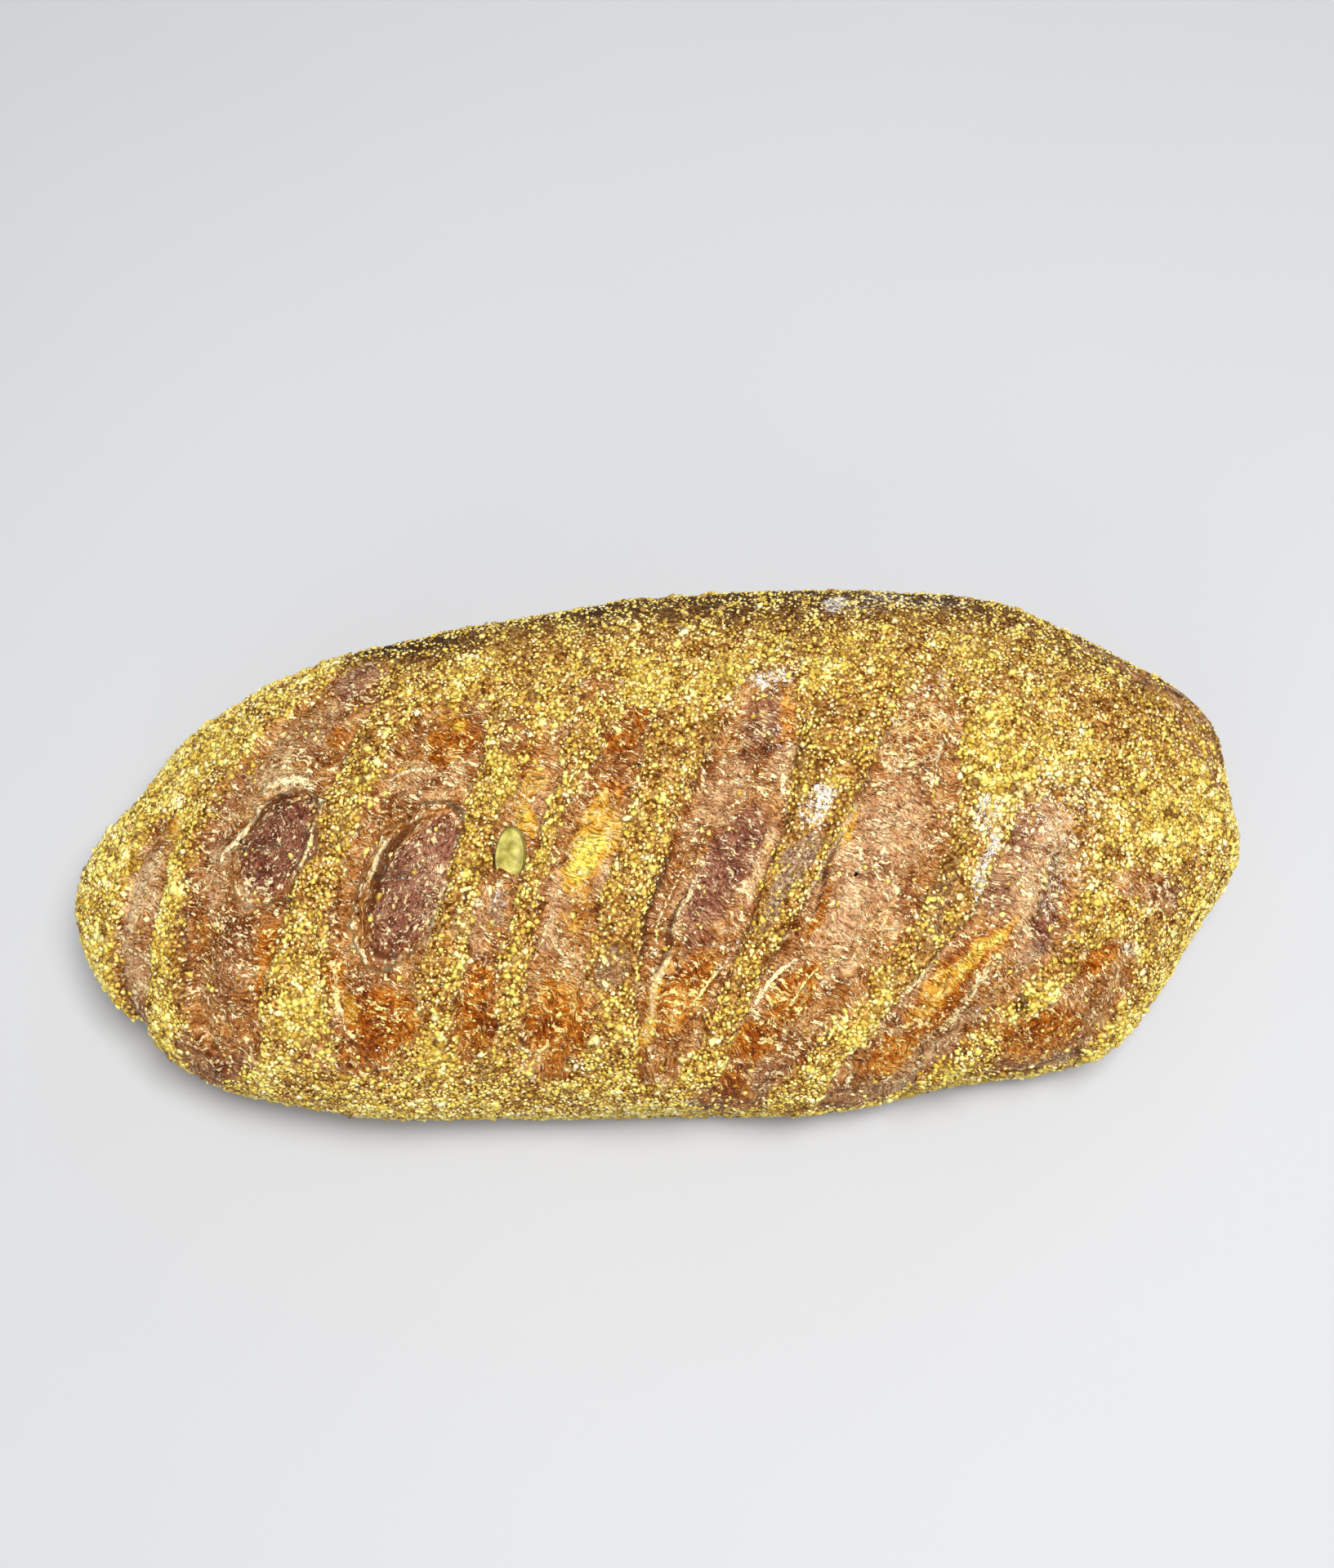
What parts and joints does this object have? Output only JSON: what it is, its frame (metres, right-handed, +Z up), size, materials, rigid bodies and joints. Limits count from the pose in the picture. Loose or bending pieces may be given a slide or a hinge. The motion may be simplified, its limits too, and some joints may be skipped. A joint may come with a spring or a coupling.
{
  "type": "cornbread loaf",
  "caption": "Long oval hearth loaf with slanted scores across its crown, risen bare crust between strips coated in coarse corn grits, and a pumpkin seed pressed in.",
  "frame": {"origin": "on the surface that the loaf stands on, under the middle of its bounding box", "axes": "+X along the loaf, towards its plain coated end; +Y across it, towards the far side where the scores start; +Z up"},
  "size_m": [0.2577, 0.1197, 0.0726],
  "materials": {
    "crust": "satin baked crust, brown on the scores' risen faces",
    "grits": "matte coarse corn grits, cream to deep yellow",
    "seed": "waxy hulled pumpkin seed"
  },
  "bodies": {
    "root": {"loaf": "crust"}
  },
  "joints": []
}
